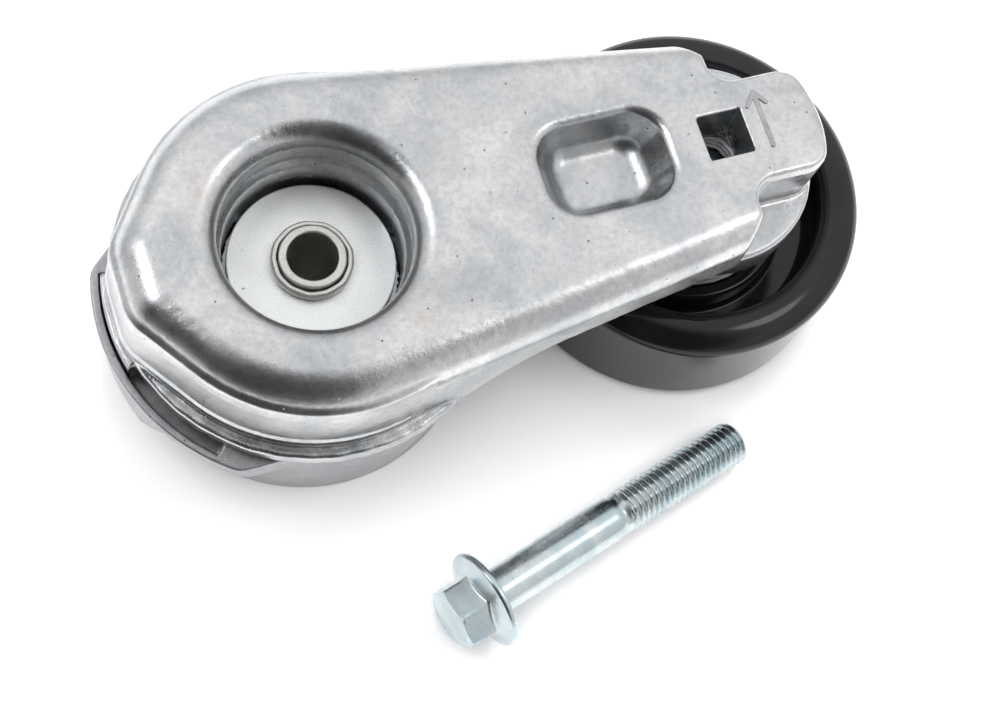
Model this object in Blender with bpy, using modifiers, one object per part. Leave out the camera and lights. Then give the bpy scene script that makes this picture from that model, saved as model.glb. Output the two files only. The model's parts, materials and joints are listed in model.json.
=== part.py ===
"""Automatic belt tensioner with a smooth idler pulley and its loose mounting bolt.

Everything is placed from the pivot axis. Z = 0 is the rear mounting face, +X runs from the pivot to
the pulley and +Z points to the front. One empty carries the whole model, so that the origin is under
the middle of its box.
"""

import math

import bmesh
import bpy
from mathutils import Matrix, Vector

MM = 0.001
GAP = 0.3 * MM
MERGE = 0.00001

# Main layout
ARM_FACE_Z = 57.0 * MM
PULLEY_X = 88.25 * MM
PULLEY_R = 39.0 * MM
PULLEY_WIDTH = 31.5 * MM
PULLEY_OPENING_R = 29.6 * MM
RIM_CREST_R = 32.0 * MM
RIM_DROP = 4.3 * MM
TUBE_BORE_R = 5.25 * MM
TUBE_R = 7.0 * MM
TUBE_FRONT_Z = 42.8 * MM

# Arm casting
DRUM_R = 37.0 * MM
DRUM_WALL_BOTTOM_Z = 32.8 * MM
DRUM_INNER_R = 35.0 * MM
DRUM_ROOF_Z = 52.0 * MM
LIP_STEP = 1.4 * MM
LIP_TOP_Z = 39.0 * MM
LIP_RING_R = 41.2 * MM
LIP_RING_TOP_Z = 36.6 * MM
CORNER_R = 10.0 * MM
CORNER_X = -29.9 * MM
CORNER_Y = 4.6 * MM
ARM_END_X = 90.0 * MM
ARM_END_DISC_X = 104.0 * MM
ARM_END_DISC_Y = 11.4 * MM
EDGE_FILLET = 8.0 * MM
ARM_RIB_BOTTOM_Z = 45.0 * MM
ARM_ROOF_Z = 51.0 * MM
POCKET_FLOOR_Z = 34.0 * MM
POCKET_R = 18.6 * MM
POCKET_RIM_R = 22.8 * MM
CORE_R = 23.0 * MM
HUB_R = 13.0 * MM
HUB_BOTTOM_Z = 8.0 * MM
HUB_BORE_R = 9.8 * MM
BOSS_R = 23.1 * MM
BOSS_TOP_Z = 43.0 * MM
BOSS_BOTTOM_Z = 34.0 * MM
BOSS_BEVEL = 1.0 * MM
NOSE_R = 11.5 * MM
LUG_R = 22.2 * MM
LUG_HALF_WIDTH = 11.7 * MM
SQUARE = 10.0 * MM
BOLT_HOLE_R = 5.4 * MM
OVAL_X = 61.5 * MM
OVAL_FLOOR_Z = 47.8 * MM

# Stop: the arm's tab runs in a slot in the base's ear. Angles are about the pivot.
EAR_R = 44.8 * MM
EAR_START = 164.0
EAR_END = 235.5
EAR_FOOT = (-35.2 * MM, 19.2 * MM)
EAR_TOE = (-15.4 * MM, -37.2 * MM)
EAR_LOW_Z = 15.0 * MM
EAR_THIN_LOW_Z = 25.6 * MM
SLOT_INNER_R = 38.5 * MM
SLOT_OUTER_R = 42.8 * MM
SLOT_START = 165.0
SLOT_END = 229.0
SLOT_FLOOR_Z = 27.8 * MM
TAB_LOW_Z = 28.2 * MM
TAB_START = 166.5
TAB_END = 195.5

# Base casting
BASE_TOP_Z = 32.0 * MM
BASE_RIM_R = 40.0 * MM
BASE_FOOT_R = 37.2 * MM
BASE_INNER_R = 36.0 * MM
BASE_FLOOR_Z = 4.0 * MM
BASE_HUB_R = 11.5 * MM

# Spring, round wire
WIRE_R = 3.0 * MM
COIL_R = 29.3 * MM
COIL_TURNS = 5.25
COIL_START_Z = 9.2 * MM
COIL_END_Z = 48.2 * MM

# Ball bearing, 17 x 40 x 12
BEARING_Z = PULLEY_WIDTH / 2
BEARING_HALF = 6.0 * MM
BEARING_OUTER_R = 20.0 * MM
BEARING_BORE_R = 8.5 * MM
SHIELD_R = 19.4 * MM
SHIELD_THICKNESS = 1.0 * MM
OUTER_SHOULDER_R = 16.6 * MM
INNER_SHOULDER_R = 11.9 * MM
PITCH_R = 14.25 * MM
BALL_R = 3.375 * MM
BALL_COUNT = 8

# Mounting bolt, M10 x 70 with a 22 mm flange
BOLT_R = 5.0 * MM
BOLT_LENGTH = 70.0 * MM
FLANGE_R = 11.0 * MM
FLANGE_EDGE = 1.6 * MM
HEX_FLATS = 13.0 * MM
HEX_CORNER = HEX_FLATS / 2 / math.cos(math.pi / 6)
HEX_HEIGHT = 10.0 * MM
HEX_TURN = math.radians(-11.5)
BOLT_HEADING = math.radians(16.3)
BOLT_FLANGE_XY = (19.8 * MM, -72.0 * MM)
GROUND_GAP = 0.05 * MM

ROUND = 48
INNER_ROUND = 32


def clear_scene():
    for obj in list(bpy.data.objects):
        bpy.data.objects.remove(obj, do_unlink=True)


def new_collection(name):
    collection = bpy.data.collections.new(name)
    bpy.context.scene.collection.children.link(collection)
    return collection


def material(name, colour, metallic, roughness):
    mat = bpy.data.materials.new(name)
    mat.use_nodes = True
    shader = mat.node_tree.nodes["Principled BSDF"]
    shader.inputs["Base Color"].default_value = (*colour, 1.0)
    shader.inputs["Metallic"].default_value = metallic
    shader.inputs["Roughness"].default_value = roughness
    return mat


def add_object(name, mesh, collection, parent=None, mat=None):
    obj = bpy.data.objects.new(name, mesh)
    collection.objects.link(obj)
    obj.parent = parent
    if mat:
        mesh.materials.append(mat)
    return obj


def mesh_from(bm, name):
    bmesh.ops.recalc_face_normals(bm, faces=bm.faces)
    mesh = bpy.data.meshes.new(name)
    bm.to_mesh(mesh)
    bm.free()
    mesh.shade_smooth()
    mesh.set_sharp_from_angle(angle=math.radians(30))
    return mesh


def as_cutter(obj):
    obj.hide_render = True
    obj.display_type = "WIRE"
    return obj


def boolean(obj, tool, operation):
    modifier = obj.modifiers.new(f"{operation.lower()} {tool.name}", "BOOLEAN")
    modifier.operation = operation
    modifier.solver = "EXACT"
    modifier.object = tool


def arc(centre, radius, start, end, steps):
    """Points along an arc in the (x, y) or (r, z) plane, angles in degrees."""
    angles = [math.radians(start + (end - start) * i / steps) for i in range(steps + 1)]
    return [(centre[0] + radius * math.cos(a), centre[1] + radius * math.sin(a)) for a in angles]


def turned(name, profile, collection, parent, mat=None, steps=ROUND):
    """A closed profile that runs down its outer side and back up its inner side, with a Screw modifier."""
    bm = bmesh.new()
    verts = [bm.verts.new((r, 0, z)) for r, z in profile]
    for i, vert in enumerate(verts):
        bm.edges.new((vert, verts[(i + 1) % len(verts)]))
    mesh = bpy.data.meshes.new(name)
    bm.to_mesh(mesh)
    bm.free()
    obj = add_object(name, mesh, collection, parent, mat)
    screw = obj.modifiers.new("turn", "SCREW")
    screw.steps = steps
    screw.render_steps = steps
    screw.use_merge_vertices = True
    screw.merge_threshold = MERGE
    screw.use_smooth_shade = True
    return obj


def tube_profile(outer_r, inner_r, low, high):
    return [(outer_r, high), (outer_r, low), (inner_r, low), (inner_r, high)]


def loft_mesh(name, rings):
    """Walls between rings of equal point count, closed by a face at both ends."""
    bm = bmesh.new()
    loops = [[bm.verts.new(point) for point in ring] for ring in rings]
    for low, high in zip(loops, loops[1:]):
        for i in range(len(low)):
            j = (i + 1) % len(low)
            bm.faces.new((low[i], low[j], high[j], high[i]))
    bm.faces.new(reversed(loops[0]))
    bm.faces.new(loops[-1])
    return mesh_from(bm, name)


def prism(name, outline, low, high, collection, parent):
    rings = [[(x, y, z) for x, y in outline] for z in (low, high)]
    return add_object(name, loft_mesh(name, rings), collection, parent)


def cylinder(name, radius, low, high, collection, parent, x=0.0, steps=ROUND, turn_deg=0.0):
    bm = bmesh.new()
    bmesh.ops.create_cone(
        bm,
        cap_ends=True,
        segments=steps,
        radius1=radius,
        radius2=radius,
        depth=high - low,
        matrix=Matrix.Translation((0, 0, (low + high) / 2)),
    )
    obj = add_object(name, mesh_from(bm, name), collection, parent)
    obj.location.x = x
    obj.rotation_euler.z = math.radians(turn_deg)
    return obj


def hull_outline(discs, inset, step_deg):
    """The tight outline round several (x, y, radius) discs, moved inwards by inset."""
    outline = []
    last = None
    count = round(360 / step_deg)
    for i in range(count + 1):
        angle = math.radians(i * step_deg)
        normal = (math.cos(angle), math.sin(angle))
        disc = max(discs, key=lambda d: d[0] * normal[0] + d[1] * normal[1] + d[2])
        if last and disc != last:
            tangent = tangent_angle(last, disc, angle)
            for touched in (last, disc):
                outline.append(support_point(touched, tangent, inset))
        if i < count:
            outline.append(support_point(disc, angle, inset))
        last = disc
    return outline


def support_point(disc, angle, inset):
    reach = disc[2] - inset
    return (disc[0] + reach * math.cos(angle), disc[1] + reach * math.sin(angle))


def tangent_angle(first, second, near):
    """The normal angle of the line that touches both discs, the one closest to a given angle."""
    dx = second[0] - first[0]
    dy = second[1] - first[1]
    heading = math.atan2(dy, dx)
    offset = math.acos((first[2] - second[2]) / math.hypot(dx, dy))
    choices = [heading + offset, heading - offset]
    return min(choices, key=lambda a: abs(math.remainder(a - near, 2 * math.pi)))


def sector(inner_r, outer_r, start, end, steps):
    """Outline of a ring's sector about the pivot, angles in degrees."""
    outer = arc((0, 0), outer_r, start, end, steps)
    inner = arc((0, 0), inner_r, end, start, steps)
    return outer + inner


def at_pulley(outline):
    return [(PULLEY_X + x, y) for x, y in outline]


def rounded_box(centre, half_x, half_y, radius, steps=4):
    corners = [(1, 1, 0), (-1, 1, 90), (-1, -1, 180), (1, -1, 270)]
    outline = []
    for sx, sy, start in corners:
        middle = (centre[0] + sx * (half_x - radius), centre[1] + sy * (half_y - radius))
        outline += arc(middle, radius, start, start + 90, steps)
    return outline


DRUM_DISCS = [
    (0.0, 0.0, DRUM_R),
    (CORNER_X, CORNER_Y, CORNER_R),
    (CORNER_X, -CORNER_Y, CORNER_R),
]
ARM_DISCS = DRUM_DISCS + [
    (ARM_END_DISC_X, ARM_END_DISC_Y, CORNER_R),
    (ARM_END_DISC_X, -ARM_END_DISC_Y, CORNER_R),
]


def arm_block():
    """The arm's outer form: drafted walls with a large round on the front edge."""
    rings = []
    levels = [(-0.9 * MM, DRUM_WALL_BOTTOM_Z), (0.0, ARM_FACE_Z - EDGE_FILLET)]
    for i in range(1, 5):
        turn = math.radians(90 * i / 4)
        inset = EDGE_FILLET * (1 - math.cos(turn))
        levels.append((inset, ARM_FACE_Z - EDGE_FILLET * (1 - math.sin(turn))))
    for inset, z in levels:
        rings.append([(x, y, z) for x, y in hull_outline(ARM_DISCS, inset, 7.5)])
    return loft_mesh("tensioner_arm", rings)


def arm_lip(cutters, origin):
    """The step round the drum's lower edge, with the same outline as the drum."""
    grown = [(x, y, r + LIP_STEP) for x, y, r in DRUM_DISCS]
    rings = [
        [(x, y, z) for x, y in hull_outline(grown, inset, 7.5)]
        for inset, z in (
            (0.0, DRUM_WALL_BOTTOM_Z + 0.3 * MM),
            (0.0, LIP_TOP_Z - 0.4 * MM),
            (0.4 * MM, LIP_TOP_Z),
        )
    ]
    return add_object("lip", loft_mesh("lip", rings), cutters, origin)


def lip_ring(cutters, origin):
    """The round bead under the step, which faces the base's rim."""
    low = DRUM_WALL_BOTTOM_Z - 0.3 * MM
    return cylinder("lip_ring", LIP_RING_R, low, LIP_RING_TOP_Z, cutters, origin, turn_deg=1.0)


def arm_undercut(cutters, origin):
    """Clears everything under the arm's channel, sloping up from the drum."""
    side = [(18, 32), (37, 42.7), (140, 42.7), (140, 20), (18, 20)]
    rings = [[(x * MM, y * MM, z * MM) for x, z in side] for y in (-60, 60)]
    return add_object("undercut", loft_mesh("undercut", rings), cutters, origin)


def drum_cavity(cutters, origin):
    """Ring space for the spring between the pocket's wall and the drum's wall."""
    round_r = 3.0 * MM
    profile = [(DRUM_INNER_R, DRUM_ROOF_Z - round_r), (DRUM_INNER_R, 20 * MM), (CORE_R, 20 * MM)]
    profile += [(CORE_R, DRUM_ROOF_Z), (DRUM_INNER_R - round_r, DRUM_ROOF_Z)]
    return turned("drum_cavity", profile, cutters, origin)


def channel_cavity(cutters, origin):
    """The arm's hollow underside between the drum and the pulley boss."""
    discs = [(44 * MM, 22.5 * MM, 4 * MM), (44 * MM, -22.5 * MM, 4 * MM)]
    discs += [(82 * MM, 17.0 * MM, 4 * MM), (82 * MM, -17.0 * MM, 4 * MM)]
    return prism("channel", hull_outline(discs, 0, 15), 30 * MM, ARM_ROOF_Z, cutters, origin)


def round_pocket(cutters, origin):
    """The deep front pocket: flared rim, throat, a step and the wall round the front plate."""
    rim = arc((POCKET_RIM_R + 0.4 * MM, ARM_FACE_Z - 3.6 * MM), 3.6 * MM, 90, 180, 4)
    profile = [(POCKET_RIM_R + 0.4 * MM, ARM_FACE_Z + 2 * MM)] + rim
    profile += [(19.4 * MM, 47 * MM), (POCKET_R, 46 * MM), (POCKET_R, POCKET_FLOOR_Z)]
    profile += [(1 * MM, POCKET_FLOOR_Z), (1 * MM, ARM_FACE_Z + 2 * MM)]
    return turned("round_pocket", profile, cutters, origin)


def oval_shell(cutters, origin):
    outline = rounded_box((OVAL_X, 0), 17 * MM, 12.5 * MM, 7 * MM)
    return prism("oval_shell", outline, ARM_RIB_BOTTOM_Z - 0.4 * MM, ARM_FACE_Z - 1 * MM, cutters, origin)


def oval_pocket(cutters, origin):
    """The shallow pocket in the arm's face, with sloping walls."""
    top = ARM_FACE_Z + 1 * MM
    levels = [(-1.2, OVAL_FLOOR_Z), (0, OVAL_FLOOR_Z + 1.2 * MM), (0, ARM_FACE_Z - 1 * MM)]
    levels += [(0.8, ARM_FACE_Z), (0.8, top)]
    rings = []
    for grow, z in levels:
        depth = max(ARM_FACE_Z - z, 0)
        half_x = (14.3 + grow) * MM - 0.53 * depth
        half_y = (10.3 + grow) * MM - 0.33 * depth
        outline = rounded_box((OVAL_X, 0), half_x, half_y, (6.0 + grow) * MM - 0.25 * depth)
        rings.append([(x, y, z) for x, y in outline])
    return add_object("oval_pocket", loft_mesh("oval_pocket", rings), cutters, origin)


def end_cut(cutters, origin, name, side):
    """Removes the arm beside the lift lug, leaving a hollow corner of 5 mm radius."""
    radius = 5 * MM
    corner = (ARM_END_X + radius, LUG_HALF_WIDTH + radius)
    shoulder_x = ARM_END_X - 2.5 * MM
    outline = arc(corner, radius, 180, 270, 4)
    outline += [(130 * MM, LUG_HALF_WIDTH), (130 * MM, 45 * MM)]
    outline += [(shoulder_x, 45 * MM), (shoulder_x, 22.5 * MM), (ARM_END_X, 19 * MM)]
    outline = [(x, side * y) for x, y in outline]
    return prism(name, outline, BOSS_TOP_Z + GAP, ARM_FACE_Z + 2 * MM, cutters, origin)


def lug_end_cut(cutters, origin):
    """Rounds the lug's far end on an arc about the pulley axis."""
    outer = at_pulley(arc((0, 0), LUG_R, -34, 34, 8))
    outline = outer + [(140 * MM, 12 * MM), (140 * MM, -12 * MM)]
    return prism("lug_end", outline, BOSS_TOP_Z + GAP, ARM_FACE_Z + 2 * MM, cutters, origin)


def boss_parts(cutters, origin):
    """The pulley boss: a round plate, a thick core up into the arm and a nose down to the bearing."""
    core_top = ARM_ROOF_Z + 2.3 * MM
    core = cylinder("boss_core", 16.5 * MM, 36 * MM, core_top, cutters, origin, PULLEY_X, 40, 2.0)
    nose_z = BEARING_Z + BEARING_HALF + SHIELD_THICKNESS + 2 * GAP
    profile = [
        (BOSS_R - BOSS_BEVEL, BOSS_TOP_Z),
        (BOSS_R, BOSS_TOP_Z - BOSS_BEVEL),
        (BOSS_R, BOSS_BOTTOM_Z + BOSS_BEVEL),
        (BOSS_R - BOSS_BEVEL, BOSS_BOTTOM_Z),
        (NOSE_R + 1.5 * MM, BOSS_BOTTOM_Z),
        (NOSE_R, BOSS_BOTTOM_Z - 1.5 * MM),
        (NOSE_R, nose_z),
        (2 * MM, nose_z),
        (2 * MM, BOSS_TOP_Z),
    ]
    plate = turned("boss_plate", profile, cutters, origin)
    plate.location.x = PULLEY_X
    outline = at_pulley(arc((0, 0), LUG_R - 0.5 * MM, -33, 33, 8))
    outline += [(80 * MM, 11 * MM), (80 * MM, -11 * MM)]
    low = BOSS_TOP_Z - 1.5 * MM
    lug = prism("lug_block", outline, low, ARM_FACE_Z - 2 * MM, cutters, origin)
    return [core, plate, lug]


def square_hole(cutters, origin):
    half = SQUARE / 2
    outline = [(-half, -half), (half, -half), (half, half), (-half, half)]
    return prism("square_hole", at_pulley(outline), 45 * MM, ARM_FACE_Z + 2 * MM, cutters, origin)


def stop_tab(cutters, origin):
    outline = sector(SLOT_INNER_R + 0.5 * MM, SLOT_OUTER_R - 0.9 * MM, TAB_START, TAB_END, 6)
    return prism("stop_tab", outline, TAB_LOW_Z, DRUM_WALL_BOTTOM_Z + 2 * MM, cutters, origin)


def tensioner_arm(parts, cutters, origin, mat):
    arm = add_object("tensioner_arm", arm_block(), parts, origin, mat)
    boolean(arm, as_cutter(arm_undercut(cutters, origin)), "DIFFERENCE")
    boolean(arm, as_cutter(arm_lip(cutters, origin)), "UNION")
    boolean(arm, as_cutter(lip_ring(cutters, origin)), "UNION")
    boolean(arm, as_cutter(stop_tab(cutters, origin)), "UNION")
    skirt_low = DRUM_WALL_BOTTOM_Z + 0.1 * MM
    skirt = tube_profile(DRUM_R - 0.4 * MM, DRUM_INNER_R - 0.5 * MM, skirt_low, 50 * MM)
    wall = turned("drum_wall", skirt, cutters, origin)
    boolean(arm, as_cutter(wall), "UNION")
    boolean(arm, as_cutter(drum_cavity(cutters, origin)), "DIFFERENCE")
    boolean(arm, as_cutter(channel_cavity(cutters, origin)), "DIFFERENCE")
    boolean(arm, as_cutter(oval_shell(cutters, origin)), "UNION")
    flange = cylinder("core_flange", CORE_R - 0.4 * MM, 28 * MM, 40 * MM, cutters, origin)
    boolean(arm, as_cutter(flange), "UNION")
    hub = cylinder("arm_hub", HUB_R, HUB_BOTTOM_Z, 31 * MM, cutters, origin)
    boolean(arm, as_cutter(hub), "UNION")
    boolean(arm, as_cutter(round_pocket(cutters, origin)), "DIFFERENCE")
    bore = cylinder("hub_bore", HUB_BORE_R, 0, ARM_FACE_Z + 3 * MM, cutters, origin)
    boolean(arm, as_cutter(bore), "DIFFERENCE")
    for name, side in (("end_cut_left", 1), ("end_cut_right", -1)):
        boolean(arm, as_cutter(end_cut(cutters, origin, name, side)), "DIFFERENCE")
    boolean(arm, as_cutter(lug_end_cut(cutters, origin)), "DIFFERENCE")
    for piece in boss_parts(cutters, origin):
        boolean(arm, as_cutter(piece), "UNION")
    boolean(arm, as_cutter(oval_pocket(cutters, origin)), "DIFFERENCE")
    bolt_hole = cylinder("bolt_hole", BOLT_HOLE_R, 20 * MM, 46 * MM, cutters, origin, PULLEY_X, 32, 3.0)
    boolean(arm, as_cutter(bolt_hole), "DIFFERENCE")
    boolean(arm, as_cutter(square_hole(cutters, origin)), "DIFFERENCE")
    return arm


def base_cup_profile():
    """The cup with its rim band, drafted wall, foot round, floor and hub round the pivot tube."""
    return [
        (BASE_RIM_R, BASE_TOP_Z),
        (BASE_RIM_R, BASE_TOP_Z - 2 * MM),
        (BASE_RIM_R - 0.6 * MM, BASE_TOP_Z - 2.6 * MM),
        (BASE_FOOT_R + 0.3 * MM, 2.0 * MM),
        (BASE_FOOT_R - 1.2 * MM, 0.0),
        (TUBE_R + GAP, 0.0),
        (TUBE_R + GAP, HUB_BOTTOM_Z - GAP),
        (BASE_HUB_R, HUB_BOTTOM_Z - GAP),
        (BASE_HUB_R + 1.0 * MM, BASE_FLOOR_Z),
        (BASE_INNER_R - 1.5 * MM, BASE_FLOOR_Z),
        (BASE_INNER_R, BASE_FLOOR_Z + 1.5 * MM),
        (BASE_INNER_R, BASE_TOP_Z),
    ]


def ear_block(cutters, origin):
    """The rim's bulge round the stop slot, running out along a straight line at both ends."""
    outline = arc((0, 0), EAR_R, EAR_START, EAR_END, 10) + [EAR_TOE]
    outline += arc((0, 0), 37 * MM, 247, 152, 10) + [EAR_FOOT]
    return prism("ear", outline, EAR_LOW_Z, BASE_TOP_Z - 0.2 * MM, cutters, origin)


def ear_trim(cutters, origin):
    """Leaves the ear deep at its start only, and thin along the rest of the slot."""
    rings = []
    for start, z in ((203, EAR_LOW_Z - 1 * MM), (213, EAR_THIN_LOW_Z)):
        rings.append([(x, y, z) for x, y in sector(36 * MM, 50 * MM, start, 262, 10)])
    return add_object("ear_trim", loft_mesh("ear_trim", rings), cutters, origin)


def rear_recess(cutters, origin, index, count):
    """One of the lightening recesses between the ribs of the rear face."""
    pitch = 360 / count
    start = index * pitch + 6
    outline = sector(16 * MM, 33 * MM, start, start + pitch - 12, 4)
    return prism(f"rear_recess_{index + 1}", outline, -2 * MM, 1.6 * MM, cutters, origin)


def base_housing(parts, cutters, origin, mat):
    base = turned("base_housing", base_cup_profile(), parts, origin, mat)
    ear = as_cutter(ear_block(cutters, origin))
    boolean(ear, as_cutter(ear_trim(cutters, origin)), "DIFFERENCE")
    boolean(base, ear, "UNION")
    slot_outline = sector(SLOT_INNER_R, SLOT_OUTER_R, SLOT_START, SLOT_END, 10)
    slot = prism("slot", slot_outline, SLOT_FLOOR_Z, 40 * MM, cutters, origin)
    boolean(base, as_cutter(slot), "DIFFERENCE")
    for index in range(6):
        boolean(base, as_cutter(rear_recess(cutters, origin, index, 6)), "DIFFERENCE")
    return base


def pivot_pieces(parts, origin, mats):
    """The fixed tube, its collar, the front plate, the washer and the moving bush."""
    tube = [
        (TUBE_R - 0.6 * MM, TUBE_FRONT_Z),
        (TUBE_R, TUBE_FRONT_Z - 0.6 * MM),
        (TUBE_R, 0.0),
        (TUBE_BORE_R, 0.0),
        (TUBE_BORE_R, TUBE_FRONT_Z),
    ]
    turned("pivot_tube", tube, parts, origin, mats["steel"])
    collar = [
        (8.2 * MM, 41.6 * MM),
        (8.5 * MM, 41.2 * MM),
        (8.5 * MM, 39.7 * MM),
        (TUBE_R + GAP, 39.7 * MM),
        (TUBE_R + GAP, 41.6 * MM),
    ]
    turned("retaining_collar", collar, parts, origin, mats["steel"])
    plate = tube_profile(17.5 * MM, TUBE_R + GAP, 36.4 * MM, 39.4 * MM)
    turned("front_plate", plate, parts, origin, mats["zinc"])
    washer = tube_profile(16.8 * MM, TUBE_R + GAP, POCKET_FLOOR_Z + GAP, 36.1 * MM)
    turned("thrust_washer", washer, parts, origin, mats["nylon"], INNER_ROUND)
    bush = tube_profile(HUB_BORE_R - GAP, TUBE_R + GAP, HUB_BOTTOM_Z, POCKET_FLOOR_Z - GAP)
    turned("pivot_bushing", bush, parts, origin, mats["bronze"], INNER_ROUND)


def spring_pieces(parts, origin, mats):
    """The torsion spring, its seat in the cup and the C-shaped friction shoe."""
    seat = tube_profile(33.2 * MM, 25.5 * MM, BASE_FLOOR_Z + GAP, COIL_START_Z - WIRE_R - GAP)
    turned("spring_seat", seat, parts, origin, mats["nylon"])
    curve = bpy.data.curves.new("torsion_spring", "CURVE")
    curve.dimensions = "3D"
    curve.bevel_depth = WIRE_R
    curve.bevel_resolution = 2
    curve.use_fill_caps = True
    count = round(COIL_TURNS * 16)
    spline = curve.splines.new("POLY")
    spline.points.add(count)
    for i in range(count + 1):
        share = i / count
        turn = 2 * math.pi * COIL_TURNS * share
        z = COIL_START_Z + (COIL_END_Z - COIL_START_Z) * share
        spline.points[i].co = (COIL_R * math.cos(turn), COIL_R * math.sin(turn), z, 1)
    curve.materials.append(mats["spring"])
    add_object("torsion_spring", curve, parts, origin)
    outline = sector(32.8 * MM, DRUM_INNER_R - 0.5 * MM, 30, 330, 30)
    shoe = prism("damping_shoe", outline, 34 * MM, 46 * MM, parts, origin)
    shoe.data.materials.append(mats["nylon"])


def bearing_groove(shoulder_r, start, end):
    """The race's groove, an arc about the ball's centre, with both shoulders' corner points."""
    radius = BALL_R + GAP
    opening = math.degrees(math.acos(abs(shoulder_r - PITCH_R) / radius))
    middle = (start + end) / 2
    return arc((PITCH_R, 0), radius, middle - opening, middle + opening, 5)


def bearing_pieces(parts, axis, mats):
    """A deep-groove ball bearing with its middle at the axis empty's height."""
    outer = [(BEARING_OUTER_R, BEARING_HALF), (BEARING_OUTER_R, -BEARING_HALF)]
    outer += [(OUTER_SHOULDER_R, -BEARING_HALF)]
    outer += bearing_groove(OUTER_SHOULDER_R, -90, 90)
    outer += [(OUTER_SHOULDER_R, BEARING_HALF)]
    turned("bearing_outer_ring", outer, parts, axis, mats["steel"], INNER_ROUND)
    inner = [(INNER_SHOULDER_R, BEARING_HALF)]
    inner += bearing_groove(INNER_SHOULDER_R, 90, 270)
    inner += [(INNER_SHOULDER_R, -BEARING_HALF)]
    inner += [(BEARING_BORE_R, -BEARING_HALF), (BEARING_BORE_R, BEARING_HALF)]
    turned("bearing_inner_ring", inner, parts, axis, mats["steel"], INNER_ROUND)
    for name, middle in (("bearing_seal_front", 5.3 * MM), ("bearing_seal_rear", -5.3 * MM)):
        seal = tube_profile(
            OUTER_SHOULDER_R - GAP, INNER_SHOULDER_R + GAP, middle - 0.35 * MM, middle + 0.35 * MM
        )
        turned(name, seal, parts, axis, mats["seal"], INNER_ROUND)


def ball_centre(index):
    turn = 2 * math.pi * index / BALL_COUNT
    return Vector((PITCH_R * math.cos(turn), PITCH_R * math.sin(turn), 0))


def ball_mesh(name, radius, segments, rings):
    bm = bmesh.new()
    bmesh.ops.create_uvsphere(bm, u_segments=segments, v_segments=rings, radius=radius)
    return mesh_from(bm, name)


def cage_pieces(parts, cutters, axis, mats):
    """The ball cage with a window for each ball, and the balls."""
    profile = tube_profile(15.4 * MM, 13.1 * MM, -4.4 * MM, 4.4 * MM)
    cage = turned("bearing_cage", profile, parts, axis, mats["nylon"], INNER_ROUND)
    for index in range(BALL_COUNT):
        name = f"bearing_ball_{index + 1}"
        ball = add_object(name, ball_mesh(name, BALL_R, 10, 7), parts, axis, mats["steel"])
        ball.location = ball_centre(index)
        window_name = f"ball_window_{index + 1}"
        window = add_object(window_name, ball_mesh(window_name, BALL_R + GAP, 10, 7), cutters, axis)
        window.location = ball_centre(index)
        boolean(cage, as_cutter(window), "DIFFERENCE")


def rim_roll(side):
    """One rolled rim, from the outer wall over the crest and down to the opening; side is 1 or -1."""
    half = PULLEY_WIDTH / 2
    points = []
    for step in range(6):
        turn = math.radians(step * 18)
        reach = (PULLEY_R - RIM_CREST_R) * math.cos(turn)
        points.append((RIM_CREST_R + reach, side * (half - RIM_DROP * (1 - math.sin(turn)))))
    points.append((PULLEY_OPENING_R + 0.7 * MM, side * (half - 0.9 * MM)))
    points.append((PULLEY_OPENING_R, side * (half - 2.6 * MM)))
    points.append((PULLEY_OPENING_R, side * (half - 4.4 * MM)))
    return points


def pulley_profile():
    """Section of the pulley: rolled rims, a web and the hub round the bearing."""
    web_r = PULLEY_OPENING_R
    hub_r = 23.2 * MM
    seat_r = BEARING_OUTER_R + GAP
    rear = -BEARING_HALF - 0.4 * MM
    front = BEARING_HALF + 0.2 * MM
    profile = rim_roll(1)[::-1] + rim_roll(-1)
    profile += [(web_r + 1.8 * MM, -9 * MM), (web_r, -4 * MM), (hub_r + 0.8 * MM, -3 * MM)]
    profile += [(hub_r, rear), (seat_r, rear), (seat_r, front), (hub_r, front)]
    profile += [(hub_r + 0.8 * MM, 0.0), (web_r, 1 * MM), (web_r + 1.8 * MM, 6 * MM)]
    return profile


def pulley_hardware(parts, cutters, origin, axis, mats):
    """The dust shields, the sleeve in the bearing's bore and the bolt that holds them to the boss."""
    near = BEARING_HALF + GAP
    far = near + SHIELD_THICKNESS
    shield_front = tube_profile(SHIELD_R, BOLT_HOLE_R, near, far)
    turned("front_dust_shield", shield_front, parts, axis, mats["zinc"])
    shield_rear = tube_profile(SHIELD_R, BOLT_HOLE_R, -far, -near)
    turned("rear_dust_shield", shield_rear, parts, axis, mats["zinc"])
    sleeve = tube_profile(BEARING_BORE_R - GAP, BOLT_HOLE_R, -BEARING_HALF, BEARING_HALF)
    turned("spacer_sleeve", sleeve, parts, axis, mats["steel"], INNER_ROUND)
    seat = BEARING_Z - far - GAP
    bolt = cylinder("pulley_bolt", BOLT_R, seat - 2 * MM, 40 * MM, parts, origin, PULLEY_X, 32)
    bolt.data.materials.append(mats["bolt"])
    flange = cylinder(
        "pulley_bolt_flange", 10 * MM, seat - 1.8 * MM, seat, cutters, origin, PULLEY_X, 32
    )
    boolean(bolt, as_cutter(flange), "UNION")
    head = cylinder(
        "pulley_bolt_hex", HEX_CORNER, 1.6 * MM, seat - 1 * MM, cutters, origin, PULLEY_X, 6
    )
    boolean(bolt, as_cutter(head), "UNION")


def bolt_drop():
    """The angle at which the loose bolt leans when its flange and its tip both touch the ground."""
    return math.asin((FLANGE_R - BOLT_R) / BOLT_LENGTH)


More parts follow.
